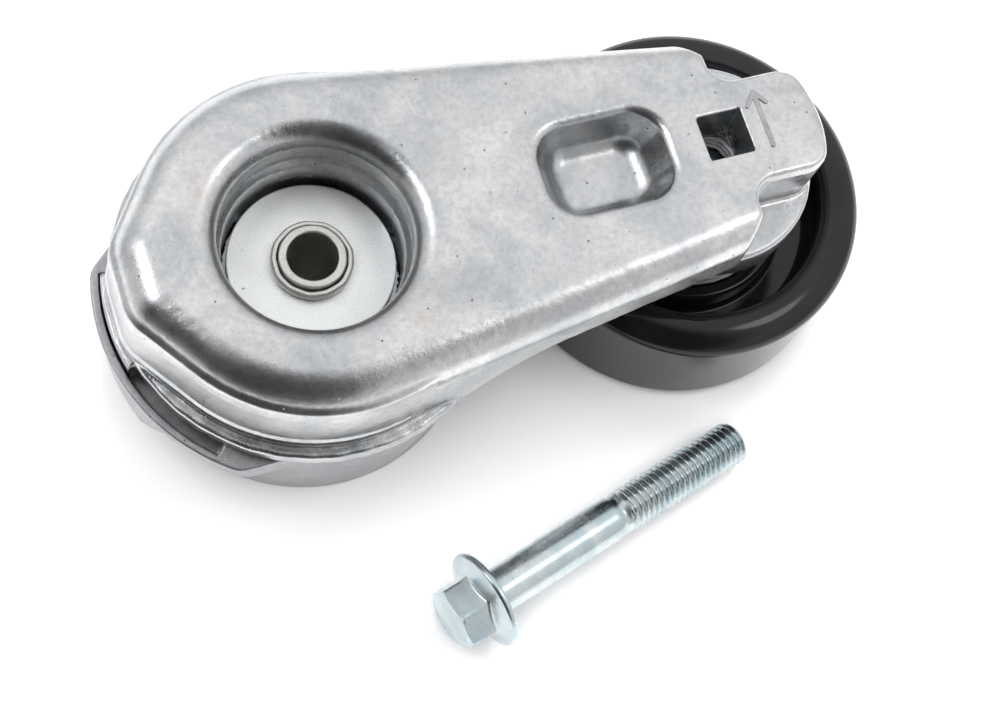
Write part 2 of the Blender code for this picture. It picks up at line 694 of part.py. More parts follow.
def bolt_pose():
    drop = bolt_drop()
    heading = Vector((math.cos(BOLT_HEADING), math.sin(BOLT_HEADING), 0))
    along = heading * math.cos(drop) - Vector((0, 0, math.sin(drop)))
    height = FLANGE_R * math.cos(drop) + GROUND_GAP
    matrix = along.to_track_quat("-Z", "Y").to_matrix().to_4x4()
    matrix.translation = Vector((*BOLT_FLANGE_XY, height))
    return matrix


def mounting_bolt(parts, cutters, origin, mat):
    """Hex flange bolt, modelled along Z with its seat at zero and its tip at the bottom."""
    profile = [
        (8.0 * MM, 3.4 * MM),
        (FLANGE_R, FLANGE_EDGE),
        (FLANGE_R, 0.3 * MM),
        (FLANGE_R - 0.4 * MM, 0.0),
        (BOLT_R, 0.0),
        (BOLT_R, 1 * MM - BOLT_LENGTH),
        (BOLT_R - 1 * MM, -BOLT_LENGTH),
    ]
    angles = [2 * math.pi * i / INNER_ROUND for i in range(INNER_ROUND)]
    rings = [[(r * math.cos(a), r * math.sin(a), z) for a in angles] for r, z in reversed(profile)]
    bolt = add_object("mounting_bolt", loft_mesh("mounting_bolt", rings), parts, origin, mat)
    bolt.matrix_local = bolt_pose()
    hex_head = cylinder("bolt_hex", HEX_CORNER, 2 * MM, HEX_HEIGHT, cutters, origin, steps=6)
    hex_head.matrix_local = bolt_pose() @ Matrix.Rotation(HEX_TURN, 4, "Z")
    boolean(bolt, as_cutter(hex_head), "UNION")
    return bolt


def make_materials():
    return {
        "cast": material("cast_aluminium", (0.62, 0.63, 0.65), 1.0, 0.34),
        "zinc": material("zinc_plate", (0.66, 0.67, 0.68), 1.0, 0.45),
        "steel": material("bare_steel", (0.50, 0.49, 0.47), 1.0, 0.35),
        "bolt": material("blue_zinc", (0.62, 0.70, 0.74), 1.0, 0.28),
        "black": material("black_gloss", (0.012, 0.012, 0.013), 0.0, 0.12),
        "nylon": material("dark_nylon", (0.05, 0.05, 0.055), 0.0, 0.5),
        "bronze": material("bush_bronze", (0.45, 0.32, 0.16), 1.0, 0.4),
        "spring": material("spring_steel", (0.12, 0.12, 0.13), 1.0, 0.4),
        "seal": material("seal_rubber", (0.02, 0.02, 0.02), 0.0, 0.6),
    }


def empty(name, collection, parent, location):
    obj = bpy.data.objects.new(name, None)
    collection.objects.link(obj)
    obj.parent = parent
    obj.location = location
    return obj


def main():
    clear_scene()
    parts = new_collection("belt_tensioner")
    cutters = new_collection("cutters")
    middle_x = (PULLEY_X + PULLEY_R - EAR_R) / 2
    edge_y = FLANGE_EDGE * math.cos(bolt_drop()) * math.sin(BOLT_HEADING)
    bolt_low_y = BOLT_FLANGE_XY[1] - FLANGE_R * math.cos(BOLT_HEADING) - edge_y
    middle_y = (LIP_RING_R + bolt_low_y) / 2
    origin = empty("pivot_axis", parts, None, (-middle_x, -middle_y, 0))
    axis = empty("pulley_axis", parts, origin, (PULLEY_X, 0, BEARING_Z))
    mats = make_materials()
    base_housing(parts, cutters, origin, mats["cast"])
    tensioner_arm(parts, cutters, origin, mats["cast"])
    pivot_pieces(parts, origin, mats)
    spring_pieces(parts, origin, mats)
    turned("pulley_shell", pulley_profile(), parts, axis, mats["black"])
    bearing_pieces(parts, axis, mats)
    cage_pieces(parts, cutters, axis, mats)
    pulley_hardware(parts, cutters, origin, axis, mats)
    mounting_bolt(parts, cutters, origin, mats["bolt"])


main()
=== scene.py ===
"""The looks of the belt tensioner: high-resolution castings, turned pieces, threads, materials and light.

Shapes are worked out in millimetres from the pivot axis, with Z = 0 at the rear mounting face, and moved
to the frame's place and scale as the meshes are made.
"""

import json
import math

import bmesh
import bpy
import numpy as np
from mathutils import Matrix, Vector


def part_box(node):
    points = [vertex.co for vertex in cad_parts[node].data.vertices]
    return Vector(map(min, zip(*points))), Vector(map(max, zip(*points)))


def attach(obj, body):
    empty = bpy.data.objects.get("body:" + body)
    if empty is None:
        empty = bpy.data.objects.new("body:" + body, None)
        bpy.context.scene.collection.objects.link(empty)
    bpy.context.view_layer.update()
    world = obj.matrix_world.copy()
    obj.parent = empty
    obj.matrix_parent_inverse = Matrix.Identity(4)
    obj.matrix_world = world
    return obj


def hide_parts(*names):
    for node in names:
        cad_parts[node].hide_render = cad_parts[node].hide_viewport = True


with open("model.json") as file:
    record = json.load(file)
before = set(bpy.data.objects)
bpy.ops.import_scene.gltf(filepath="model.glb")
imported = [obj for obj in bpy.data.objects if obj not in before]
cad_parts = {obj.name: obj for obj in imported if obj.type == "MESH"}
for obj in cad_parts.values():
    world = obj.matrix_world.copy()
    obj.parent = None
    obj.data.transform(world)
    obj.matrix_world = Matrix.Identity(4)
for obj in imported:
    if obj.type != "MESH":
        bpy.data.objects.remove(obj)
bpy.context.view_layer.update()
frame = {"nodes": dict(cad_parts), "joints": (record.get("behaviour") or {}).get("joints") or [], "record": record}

JOINTS = {joint["name"]: joint for joint in frame["joints"]}
PIVOT = Vector((*JOINTS["arm_pivot"]["pos_m"][:2], 0.0))
PULLEY_X = (JOINTS["pulley_spin"]["pos_m"][0] - PIVOT.x) * 1000
PULLEY_Z = JOINTS["pulley_spin"]["pos_m"][2] * 1000

# Arm casting, in millimetres from the pivot axis and the rear face
FACE_Z = 56.8
TOP_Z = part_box("tensioner_arm")[1].z * 1000
UNDER_Z = 43.6
BOSS_TOP = 43.1
DRUM_DISCS = [(0.0, 0.0, 37.0), (-29.9, 4.6, 10.0), (-29.9, -4.6, 10.0)]
ARM_DISCS = [(104.0, -11.4, 10.0), (104.0, 11.4, 10.0), *DRUM_DISCS, DRUM_DISCS[0]]
ARM_CORE = ((0.0, 0.0, 37.0), (92.0, 0.0, 21.0))
ARM_END_X, ARM_DRAFT = 90.0, 0.053
EDGE_R, EDGE_THINNING = 8.2, 1.4
LIP_RING_R, LIP_RING_LOW_Z, LIP_RING_TOP_Z = 41.05, 32.8, 36.5
LIP_STEP, LIP_STEP_TOP_Z = 1.35, 38.9
TAB_R, TAB_Z, TAB_SECTOR = (38.7, 42.6), (28.2, 35.0), (166.5, 195.5)
POCKET_R, POCKET_EDGE_R, HUB_R, HUB_BORE_R = 18.6, 5.0, 13.0, 9.8
CAVITY_R, CAVITY_TOP_Z = (23.0, 35.0), 52.0
OVAL_X, OVAL_HALF_X, OVAL_HALF_Y, OVAL_FLOOR_Z = 61.5, 14.3, 10.3, 47.7
LUG_HALF, LUG_R = 11.7, 22.2
BOSS_R, BOSS_PLATE_R, BOSS_NOSE_R = 11.6, 23.1, 11.5
SQUARE_HALF, SQUARE_FLOOR_Z, BOSS_BORE_R = 5.0, 46.2, 5.4

# Base casting
CUP_R, CUP_SPREAD, CUP_TOP_Z = 37.4, 0.072, 31.9
RIM_R, EAR_R, EAR_TOP_Z, EAR_INNER_R = 40.0, 44.8, 31.8, 36.5
EAR_LOW_Z, EAR_RISE, EAR_RISE_MAX, PARTING_Z = 15.0, 1.36, 10.6, 29.4
SLOT_R, SLOT_SECTOR, SLOT_FLOOR_Z = (38.4, 42.9), (165, 229), 27.8
HOLLOW_R, HOLLOW_FLOOR_Z, BASE_HUB_R, BASE_BORE_R = (12.5, 36.0), 4.0, 11.5, 7.3
RECESS_R, RECESS_DEPTH, RECESS_COUNT = (16.0, 33.0), 1.6, 6


# ---------------------------------------------------------------- solids as distance fields


def round_max(a, b, radius):
    """Common part of two solids, with the edge between them rounded off."""
    inner = np.minimum(np.maximum(a, b), -radius)
    return inner + np.hypot(np.maximum(a + radius, 0), np.maximum(b + radius, 0))


def round_min(a, b, radius):
    """Union of two solids, with a fillet where they meet."""
    return -round_max(-a, -b, radius)


def cut(solid, tool, radius):
    return round_max(solid, -tool, radius)


def round_cone(x, y, a, b):
    """Distance to the outline round two discs and the tangents between them."""
    dx, dy = b[0] - a[0], b[1] - a[1]
    length2 = dx * dx + dy * dy
    shrink = a[2] - b[2]
    slope2 = length2 - shrink * shrink
    px, py = x - a[0], y - a[1]
    along = px * dx + py * dy
    beyond = along - length2
    across2 = length2 * (px * dy - py * dx) ** 2
    limit = np.sign(shrink) * shrink * shrink * across2
    near_a = np.sqrt(across2 + along * along * length2) / length2 - a[2]
    near_b = np.sqrt(across2 + beyond * beyond * length2) / length2 - b[2]
    middle = (np.sqrt(across2 * slope2 / length2) + along * shrink) / length2 - a[2]
    at_b = np.sign(beyond) * slope2 * beyond * beyond * length2 > limit
    at_a = np.sign(along) * slope2 * along * along * length2 < limit
    return np.where(at_b, near_b, np.where(at_a, near_a, middle))


def hull(x, y, discs):
    """Distance to the tight outline round discs that are listed in order round it."""
    distance = round_cone(x, y, discs[-1], discs[0])
    for a, b in zip(discs, discs[1:]):
        distance = np.minimum(distance, round_cone(x, y, a, b))
    return distance


def rounded_rect(x, y, half_x, half_y, radius):
    qx = np.abs(x) - half_x + radius
    qy = np.abs(y) - half_y + radius
    outside = np.hypot(np.maximum(qx, 0), np.maximum(qy, 0))
    return outside + np.minimum(np.maximum(qx, qy), 0) - radius


def slab(z, low, high):
    return np.maximum(low - z, z - high)


def sector_cut(x, y, start, end):
    """Distance from the wedge between two angles in degrees, under half a turn apart."""
    a, b = math.radians(start), math.radians(end)
    return np.maximum(x * math.sin(a) - y * math.cos(a), y * math.cos(b) - x * math.sin(b))


def waves(x, y, scale, seed):
    """Smooth irregular values between about -1 and 1, the same on every run."""
    total = 0.0
    for i in range(5):
        turn = seed * 2.4 + i * 1.9
        rate = scale * (1.0 + 0.63 * i)
        total = total + np.sin(rate * (x * math.cos(turn) + y * math.sin(turn)) + seed * 5.1 + i * 2.7)
    return total / 3.0


def surface_net(field, low, high, step):
    """Vertices and quads on the field's zero surface, one vertex in each grid cell that it crosses."""
    axes = [np.arange(l, h + step, step) for l, h in zip(low, high)]
    values = field(*np.meshgrid(*axes, indexing="ij", sparse=True)).astype(np.float32)
    values = np.broadcast_to(values, [len(a) for a in axes])
    inside = values < 0
    shape = tuple(n - 1 for n in inside.shape)
    count = np.zeros(shape, np.int8)
    for corner in np.ndindex(2, 2, 2):
        count += inside[tuple(slice(c, c + n) for c, n in zip(corner, shape))]
    active = (count > 0) & (count < 8)
    cells = np.argwhere(active)
    number = np.full(shape, -1, np.int64)
    number[active] = np.arange(len(cells))
    total = np.zeros((len(cells), 3))
    hits = np.zeros(len(cells))
    for axis in range(3):
        unit = np.eye(3, dtype=int)[axis]
        for u, v in np.ndindex(2, 2):
            offset = np.insert([u, v], axis, 0)
            first = values[tuple((cells + offset).T)]
            second = values[tuple((cells + offset + unit).T)]
            crossed = (first < 0) != (second < 0)
            share = np.where(crossed, first / np.where(crossed, first - second, 1), 0)
            total += (cells + offset + share[:, None] * unit) * crossed[:, None]
            hits += crossed
    points = np.array(low) + step * total / hits[:, None]
    quads = []
    for axis in range(3):
        b, c = (axis + 1) % 3, (axis + 2) % 3
        first = np.take(inside, range(inside.shape[axis] - 1), axis)
        second = np.take(inside, range(1, inside.shape[axis]), axis)
        at = np.argwhere(first != second)
        at = at[(at[:, b] > 0) & (at[:, c] > 0) & (at[:, b] < shape[b]) & (at[:, c] < shape[c])]
        ring = []
        for db, dc in ((-1, -1), (0, -1), (0, 0), (-1, 0)):
            cell = at.copy()
            cell[:, b] += db
            cell[:, c] += dc
            ring.append(number[tuple(cell.T)])
        ring = np.stack(ring, 1)
        outward = first[tuple(at.T)]
        quads.append(np.where(outward[:, None], ring, ring[:, ::-1]))
    return points, np.concatenate(quads)


def slope_of(field, points, reach):
    slopes = []
    for axis in range(3):
        shift = np.zeros(3)
        shift[axis] = reach
        ahead = field(*(points + shift).T)
        behind = field(*(points - shift).T)
        slopes.append((ahead - behind) / (2 * reach))
    return np.stack(slopes, 1)


def settle(field, points, step):
    """Moves points that lie near the field's zero surface onto it."""
    start = points.copy()
    for _ in range(3):
        slope = slope_of(field, points, 0.03)
        length2 = np.maximum((slope**2).sum(1), 0.3)
        points = points - (field(*points.T) / length2)[:, None] * slope
        points = start + np.clip(points - start, -0.7 * step, 0.7 * step)
    return points


def to_frame(points):
    return np.asarray(points, float) / 1000 + np.array(PIVOT)


def link_mesh(name, mesh):
    obj = bpy.data.objects.new(name, mesh)
    bpy.context.scene.collection.objects.link(obj)
    return obj


def cast_solid(name, field, low, high, step):
    """A mesh of the field's solid: broad faces are shaded flat, the rest by the field's normals."""
    points, quads = surface_net(field, low, high, step)
    points = settle(field, points, step)
    mesh = bpy.data.meshes.new(name)
    mesh.from_pydata(points, [], quads)
    bm = bmesh.new()
    bm.from_mesh(mesh)
    bmesh.ops.dissolve_limit(
        bm, angle_limit=math.radians(0.35), verts=bm.verts, edges=bm.edges, delimit=set()
    )
    for face in bm.faces:
        face.material_index = int(face.calc_area() > 0.65 * step * face.calc_perimeter())
    bmesh.ops.triangulate(bm, faces=[f for f in bm.faces if len(f.verts) > 4])
    bm.to_mesh(mesh)
    bm.free()
    flat = np.zeros(len(mesh.vertices) * 3, np.float32)
    mesh.vertices.foreach_get("co", flat)
    points = flat.reshape(-1, 3).astype(float)
    normals = slope_of(field, points, 0.12)
    normals /= np.maximum(np.linalg.norm(normals, axis=1), 1e-6)[:, None]
    faces = mesh.polygons
    corners = np.zeros(len(mesh.loops), np.int32)
    broad = np.zeros(len(faces), np.int32)
    sides = np.zeros(len(faces), np.int32)
    flats = np.zeros(len(faces) * 3, np.float32)
    mesh.loops.foreach_get("vertex_index", corners)
    faces.foreach_get("material_index", broad)
    faces.foreach_set("material_index", np.zeros(len(faces), np.int32))
    faces.foreach_get("loop_total", sides)
    faces.foreach_get("normal", flats)
    flats = np.repeat(flats.reshape(-1, 3), sides, axis=0)
    shading = np.where(np.repeat(broad, sides)[:, None] > 0, flats, normals[corners])
    mesh.vertices.foreach_set("co", to_frame(points).astype(np.float32).ravel())
    mesh.update()
    mesh.shade_smooth()
    mesh.normals_split_custom_set(shading.tolist())
    return link_mesh(name, mesh)


# ---------------------------------------------------------------- turned and swept pieces


def rounded(profile, radius, steps=4):
    """A closed (r, z) profile with each corner that has room for it rounded off."""
    result = []
    count = len(profile)
    for i, here in enumerate(profile):
        here = np.array(here, float)
        before = np.array(profile[i - 1], float) - here
        after = np.array(profile[(i + 1) % count], float) - here
        back, ahead = np.linalg.norm(before), np.linalg.norm(after)
        before, after = before / back, after / ahead
        half = math.acos(np.clip(before @ after, -1, 1)) / 2
        if half > math.radians(80):
            result.append(tuple(here))
            continue
        reach = min(radius / math.tan(half), 0.45 * back, 0.45 * ahead)
        size = reach * math.tan(half)
        middle = here + (before + after) / np.linalg.norm(before + after) * (size / math.sin(half))
        first, last = here + before * reach - middle, here + after * reach - middle
        for step in range(steps + 1):
            share = step / steps
            spread = math.pi - 2 * half
            a = math.sin((1 - share) * spread) / math.sin(spread)
            b = math.sin(share * spread) / math.sin(spread)
            result.append(tuple(middle + a * first + b * last))
    return result


def ring_mesh(name, rings, closed, place=None):
    """Quads between rings of points. A closed stack joins its ends, and an open one is capped."""
    count = len(rings[0])
    points = np.concatenate([np.asarray(ring, float) for ring in rings])
    points = to_frame(points) if place is None else (points / 1000) @ place[:3, :3].T + place[:3, 3]
    total = len(rings)
    faces = []
    for i in range(total if closed else total - 1):
        a, b = i * count, ((i + 1) % total) * count
        for j in range(count):
            k = (j + 1) % count
            faces.append((a + j, b + j, b + k, a + k))
    if not closed:
        faces.append(list(range(count)))
        faces.append(list(range((total - 1) * count, total * count))[::-1])
    mesh = bpy.data.meshes.new(name)
    mesh.from_pydata(points.tolist(), [], faces)
    bm = bmesh.new()
    bm.from_mesh(mesh)
    bmesh.ops.recalc_face_normals(bm, faces=bm.faces)
    bm.to_mesh(mesh)
    bm.free()
    mesh.shade_smooth()
    mesh.set_sharp_from_angle(angle=math.radians(38))
    obj = link_mesh(name, mesh)
    weigh = obj.modifiers.new("weigh normals", "WEIGHTED_NORMAL")
    weigh.keep_sharp = True
    return obj


def full_turn(steps):
    return np.linspace(0, 2 * math.pi, steps, endpoint=False)


def ring_of_points(turns, radius, z, centre_x=0.0):
    """Points round an axis along Z. The radius and the height may vary round the ring."""
    radius, height = np.broadcast_to(radius, turns.shape), np.broadcast_to(z, turns.shape)
    return np.stack([centre_x + radius * np.cos(turns), radius * np.sin(turns), height], 1)


def turned(name, profile, centre_x=0.0, centre_z=0.0, steps=160, wobble=None):
    """A closed (r, z) profile turned about the pivot or pulley axis."""
    turns = full_turn(steps)
    rings = []
    for r, z in profile:
        radius = r + (wobble(turns, z) if wobble else 0.0)
        rings.append(ring_of_points(turns, radius, z + centre_z, centre_x))
    return ring_mesh(name, rings, closed=True)


# ---------------------------------------------------------------- the arm casting


def arm_field(x, y, z):
    arm = np.minimum(hull(x, y, ARM_DISCS), round_cone(x, y, *ARM_CORE))
    drum = hull(x, y, DRUM_DISCS)
    r = np.hypot(x, y)
    pulley_x = x - PULLEY_X
    pulley_r = np.hypot(pulley_x, y)
    side = np.abs(y)
    draft = np.maximum(50 - z, 0) * ARM_DRAFT
    rough = waves(x, y, 0.45, 1.0)
    jagged = waves(x, y, 1.3, 4.0)

    edge = EDGE_R - EDGE_THINNING * np.clip((x - 10) / 60, 0, 1)
    plate = round_max(arm - draft, z - FACE_Z, edge)
    wedge = ((x - 18) * 11.6 - (z - 32) * 20) / 23.1
    under = round_min(UNDER_Z - z + 0.18 * rough, wedge, 3.0)
    plate = round_max(plate, np.where(x > 8, under, 30.0 - z), 0.9)
    skirt = round_max(drum - draft, slab(z, 32.9, 52), 0.6)
    solid = round_min(plate, skirt, 1.2)
    ring_z = slab(z, LIP_RING_LOW_Z + 0.08 * jagged, LIP_RING_TOP_Z + 0.05 * rough)
    ring = round_max(r - LIP_RING_R - 0.1 * rough, ring_z, 0.9)
    step = round_max(drum - LIP_STEP, slab(z, 34, LIP_STEP_TOP_Z), 0.6)
    solid = round_min(solid, round_min(ring, step, 0.5), 0.5)
    tab = np.maximum(slab(r, *TAB_R), sector_cut(x, y, *TAB_SECTOR))
    solid = np.minimum(solid, round_max(tab, slab(z, *TAB_Z), 0.5))

    cavity = round_max(slab(r, *CAVITY_R), z - CAVITY_TOP_Z, 3.0)
    solid = cut(solid, np.maximum(cavity, 20 - z), 0.5)
    channel_half = 25.5 - (x - 44) * 0.145
    channel = round_max(slab(x, 40, 86), side - channel_half, 4.0)
    solid = cut(solid, round_max(channel, z - 51.2, 2.0), 0.7)
    shell = round_max(rounded_rect(x - OVAL_X, y, 17, 12.5, 7), slab(z, 44.6, 56), 1.0)
    solid = round_min(solid, shell, 1.0)
    core = np.maximum(r - 22.8, slab(z, 28, 40))
    hub = np.maximum(r - HUB_R, slab(z, 8, 31))
    solid = np.minimum(solid, np.minimum(core, hub))

    throat = POCKET_R + 0.9 * np.clip((z - 45.6) / 1.6, 0, 1) + np.maximum(z - 50, 0) * 0.03
    pocket = np.maximum(r - throat, 34 - z)
    lifted = np.maximum(solid, 30 - z)
    solid = np.where(z > 41, cut(lifted, pocket, POCKET_EDGE_R), cut(solid, pocket, 0.4))
    solid = cut(solid, r - HUB_BORE_R, 0.4)

    past_end = x - ARM_END_X
    end = np.maximum(past_end, (past_end * 3.5 + (side - 19) * 2.5) / 4.3)
    lug = round_max(side - LUG_HALF, pulley_r - LUG_R, 3.2)
    outline = round_min(end, lug, 5.0)
    solid = round_max(solid, outline, 1.2)

    thick = round_max(pulley_r - BOSS_R, slab(z, 36, 53), 0.5)
    plate = round_max(pulley_r - BOSS_PLATE_R, slab(z, 34, BOSS_TOP), 1.1)
    block = round_max(np.maximum(lug, 80 - x), slab(z, 41, 55), 0.5)
    nose = np.maximum(pulley_r - BOSS_NOSE_R, slab(z, 23.4, 35))
    boss = round_min(np.minimum(np.minimum(thick, block), nose), plate, 1.3)
    solid = round_min(solid, boss, 0.8)

    depth = FACE_Z - z
    half_x, half_y = OVAL_HALF_X - 0.53 * depth, OVAL_HALF_Y - 0.33 * depth
    oval = rounded_rect(x - OVAL_X, y, half_x, half_y, 7.4 - 0.34 * depth) * 0.9
    oval = round_max(oval, OVAL_FLOOR_Z - z, 2.6)
    solid = cut(solid, oval, 1.5)
    square = np.maximum(rounded_rect(pulley_x, y, SQUARE_HALF, SQUARE_HALF, 0.5), SQUARE_FLOOR_Z - z)
    solid = cut(solid, square, 0.35)
    return np.maximum(solid, BOSS_BORE_R - pulley_r - np.maximum(z - 46.4, 0) * 9)


def make_arm(step):
    return cast_solid("arm_casting", arm_field, (-46, -43, 6.5), (112, 43, 58.5), step)


def arrow_field(x, y, z):
    """A slightly raised arrow, made of three half-round strokes."""
    strokes = [
        ((97.35, -4.8), (97.35, 7.6)),
        ((97.35, 7.7), (95.0, 4.9)),
        ((97.35, 7.7), (99.3, 5.0)),
    ]
    distance = 99.0
    for a, b in strokes:
        distance = np.minimum(distance, round_cone(x, y, (*a, 0.55), (*b, 0.55)))
    return round_max(distance, slab(z, FACE_Z - 0.3, TOP_Z - 0.01), 0.16)


# ---------------------------------------------------------------- the base casting


def base_field(x, y, z):
    r = np.hypot(x, y)
    rough = waves(x, y, 0.5, 3.0)
    jagged = waves(x, y, 1.2, 8.0)
    wall = CUP_R + (z - 2) * CUP_SPREAD
    cup = round_max(r - wall, slab(z, 0, CUP_TOP_Z), 1.6)
    band = round_max(r - RIM_R - 0.08 * rough, slab(z, 29.5 + 0.12 * jagged, 32.0 + 0.06 * rough), 0.4)
    cup = round_min(cup, band, 0.8)
    ends = np.maximum(-37.2 - y, (7.9 * (y - 19.2) - 7.0 * (x + 35.2)) / 10.56)
    ledge = 0.5 * np.clip((PARTING_Z + 0.16 * jagged - z) / 0.5, 0, 1)
    ear = round_max(r - EAR_R + ledge + (EAR_TOP_Z - z) * 0.04, np.maximum(ends, x + 14), 0.9)
    ear = np.maximum(ear, EAR_INNER_R - r)
    underside = EAR_LOW_Z + np.clip((0.469 * x - 0.883 * y + 4) * EAR_RISE, 0, EAR_RISE_MAX)
    ear = round_max(ear, np.maximum((underside - z) * 0.6, z - EAR_TOP_Z), 0.6)
    solid = round_min(cup, ear, 1.5)
    hollow = round_max(slab(r, *HOLLOW_R), HOLLOW_FLOOR_Z - z, 1.5)
    solid = cut(solid, hollow, 0.5)
    hub = np.maximum(r - BASE_HUB_R, slab(z, 0, 7.7))
    solid = np.minimum(solid, hub)
    slot = np.maximum(slab(r, *SLOT_R), sector_cut(x, y, *SLOT_SECTOR))
    slot = round_max(slot, SLOT_FLOOR_Z - z, 0.8)
    solid = cut(solid, slot, 0.35)
    turn = np.arctan2(y, x)
    pitch = 2 * math.pi / RECESS_COUNT
    local = (np.mod(turn, pitch) - pitch / 2) * r
    recess = round_max(slab(r, *RECESS_R), np.abs(local) - 0.4 * pitch * r, 1.5)
    solid = cut(solid, round_max(recess, z - RECESS_DEPTH, 0.5), 0.4)
    return np.maximum(solid, BASE_BORE_R - r)


def make_base(step):
    return cast_solid("base_casting", base_field, (-46.5, -46.5, -1.2), (42, 42, 33.5), step)


# ---------------------------------------------------------------- the mounting bolt

BOLT_R, BOLT_LENGTH, FLANGE_R = 5.0, 70.0, 11.0
BOLT_HEADING = math.radians(16.3)
BOLT_FLANGE_XY = (19.8, -72.0)
THREAD_PITCH, THREAD_DEPTH, THREAD_END = 1.5, 0.86, -35.0
THREAD_RING_STEP = 0.15
HEX_FLATS, HEX_TOP, HEX_TURN = 13.0, 9.95, math.radians(18.5)
HEX_CHAMFER_R, HEX_CHAMFER = 6.1, math.radians(60)
FLANGE_TOP_R, FLANGE_TOP_Z, FLANGE_SLOPE = 10.6, 1.6, 0.46


def bolt_pose():
    """The loose bolt's place: its flange and its tip both touch the ground."""
    drop = math.asin((FLANGE_R - BOLT_R) / BOLT_LENGTH)
    heading = Vector((math.cos(BOLT_HEADING), math.sin(BOLT_HEADING), 0))
    along = heading * math.cos(drop) - Vector((0, 0, math.sin(drop)))
    matrix = along.to_track_quat("-Z", "Y").to_matrix().to_4x4()
    height = FLANGE_R * math.cos(drop) + 0.05
    spot = Vector((BOLT_FLANGE_XY[0], BOLT_FLANGE_XY[1], height)) / 1000 + PIVOT
    matrix.translation = spot
    return np.array(matrix)


def thread_radius(turns, z):
    """Radius of the thread at each angle, fading out into the shank and at the tip's chamfer."""
    phase = np.mod(z / THREAD_PITCH + turns / (2 * math.pi), 1.0)
    groove = np.clip(1.22 - np.abs(2 * phase - 1) * 1.45, 0, 1)
    groove = groove * groove * (3 - 2 * groove) * 0.35 + groove * 0.65
    fade = np.clip((THREAD_END - z) / 2.2, 0, 1)
    return BOLT_R - THREAD_DEPTH * groove * fade


def hex_radius(turns):
    local = np.mod(turns - HEX_TURN, math.pi / 3) - math.pi / 6
    return HEX_FLATS / 2 / np.cos(local)


def flange_height(radius):
    return FLANGE_TOP_Z + (FLANGE_TOP_R - radius) * FLANGE_SLOPE


def mounting_bolt():
    """The bolt's rings from its tip to its head. Rings along the hex's edges leave their plane."""
    turns = full_turn(96) + HEX_TURN
    rings = []

    def ring(radius, z):
        rings.append(ring_of_points(turns, radius, z))

    ring(3.0, -BOLT_LENGTH + 0.02)
    z = -BOLT_LENGTH
    while z < THREAD_END + 1.2:
        chamfer = 3.75 + (z + BOLT_LENGTH) * 1.1
        neck = BOLT_R - 0.42 * math.exp(-(((z - THREAD_END + 0.2) / 1.3) ** 2))
        ring(np.minimum(np.minimum(thread_radius(turns, z), chamfer), neck), z)
        z += THREAD_RING_STEP
    shank = [(4.93, -33.0), (4.95, -20.0), (4.95, -1.2), (5.1, -0.5), (5.5, -0.1), (6.0, 0.0)]
    edge = [(10.5, 0.02), (10.8, 0.1), (10.97, 0.4), (11.0, 0.8), (10.97, 1.2), (10.8, 1.5)]
    for r, z in shank + edge:
        ring(r, z)
    hexagon = hex_radius(turns)
    for share in np.linspace(0, 1, 7):
        radius = FLANGE_TOP_R * (1 - share) + (hexagon + 0.45) * share
        ring(radius, flange_height(radius))
    ring(hexagon + 0.12, flange_height(hexagon) + 0.12)
    ring(hexagon, flange_height(hexagon) + 0.5)
    chamfer_z = HEX_TOP - (hexagon - HEX_CHAMFER_R) / math.tan(HEX_CHAMFER)
    ring(hexagon, chamfer_z - 0.08)
    ring(hexagon - 0.06, chamfer_z)
    for r, above in ((HEX_CHAMFER_R, 0.0), (5.9, 0.04), (5.5, -0.06), (2.0, -0.1)):
        ring(r, HEX_TOP + above)
    return ring_mesh("flange_bolt", rings, closed=False, place=bolt_pose())


# ---------------------------------------------------------------- pulley and hardware


PULLEY_R, PULLEY_HALF = 39.0, 15.75
RIM_CREST_R, RIM_OPENING_R, RIM_DROP, RIM_INNER_DROP = 32.5, 29.8, 4.3, 2.6


def pulley_profile():
    """The pulley's section: a broad rolled rim at both sides, the web and the hub round the bearing."""
    rim = []
    for turn in np.radians(np.linspace(0, 90, 13)):
        reach = (PULLEY_R - RIM_CREST_R) * math.cos(turn)
        rim.append((RIM_CREST_R + reach, PULLEY_HALF - RIM_DROP * (1 - math.sin(turn))))
    for turn in np.radians(np.linspace(10, 90, 9)):
        reach = (RIM_CREST_R - RIM_OPENING_R) * math.sin(turn)
        rim.append((RIM_CREST_R - reach, PULLEY_HALF - RIM_INNER_DROP * (1 - math.cos(turn))))
    rim.append((RIM_OPENING_R, PULLEY_HALF - 4.4))
    inner = [(31.4, 6.0), (29.6, 1.0), (24.0, 0.0), (23.2, 6.2), (20.3, 6.2)]
    inner += [(20.3, -6.4), (23.2, -6.4), (24.0, -3.0), (29.6, -4.0), (31.4, -9.0)]
    return rounded(rim + inner + [(r, -z) for r, z in rim[::-1]], 0.9, 4)


def thread_insert():
    """The tapped hole's wall under the square drive, over the end of the pulley bolt."""
    turns = full_turn(72)
    rings = []
    for z in np.arange(41.0, 45.9, THREAD_RING_STEP):
        phase = np.mod(z / THREAD_PITCH + turns / (2 * math.pi), 1.0)
        radius = 4.35 + 0.75 * np.clip(1.2 - np.abs(2 * phase - 1) * 1.5, 0, 1)
        rings.append(ring_of_points(turns, radius, z, PULLEY_X))
    for radius, z in ((4.9, 46.15), (5.35, 46.15), (5.38, 46.0), (5.38, 41.0)):
        rings.append(ring_of_points(turns, radius, z, PULLEY_X))
    return ring_mesh("boss_thread", rings, closed=True)


def ragged(size, seed):
    """An uneven edge: how far the radius strays at each angle and height."""

    def wobble(turns, z):
        return size * (np.sin(turns * 7 + seed) * 0.5 + np.sin(turns * 13 + seed * 2 + z) * 0.4)

    return wobble


# ---------------------------------------------------------------- materials


